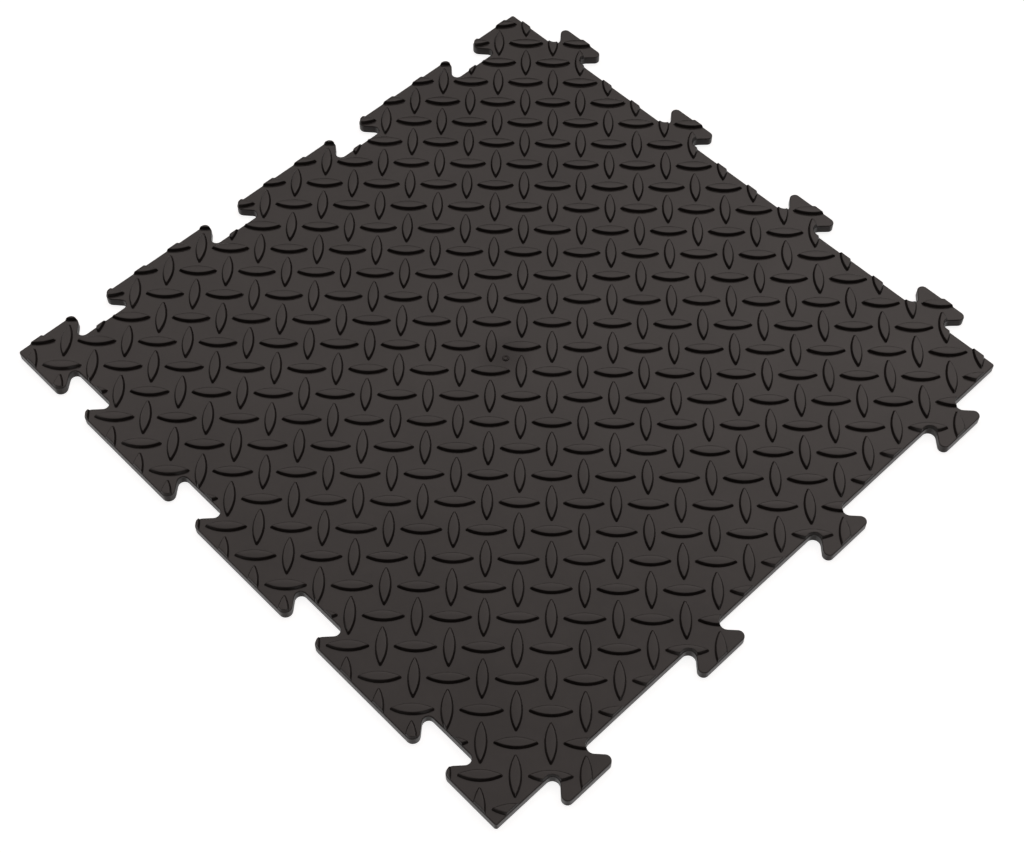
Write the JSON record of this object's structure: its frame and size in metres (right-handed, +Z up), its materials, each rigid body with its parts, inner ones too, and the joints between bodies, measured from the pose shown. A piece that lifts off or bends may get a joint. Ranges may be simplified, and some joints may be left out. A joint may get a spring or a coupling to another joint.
{
  "type": "interlocking floor tile",
  "caption": "Square flexible floor tile with a raised lozenge tread, dovetail tabs on two sides and matching sockets on the other two.",
  "frame": {"origin": "centre of the laying module, on the underside", "axes": "+Z up through the tread; tabs stand out of the -Y and +X sides; sockets open in the +Y and -X sides"},
  "size_m": [0.5206, 0.5206, 0.0096],
  "materials": {
    "black_vinyl": "satin moulded"
  },
  "bodies": {
    "root": {"tile": "black_vinyl"}
  },
  "joints": []
}
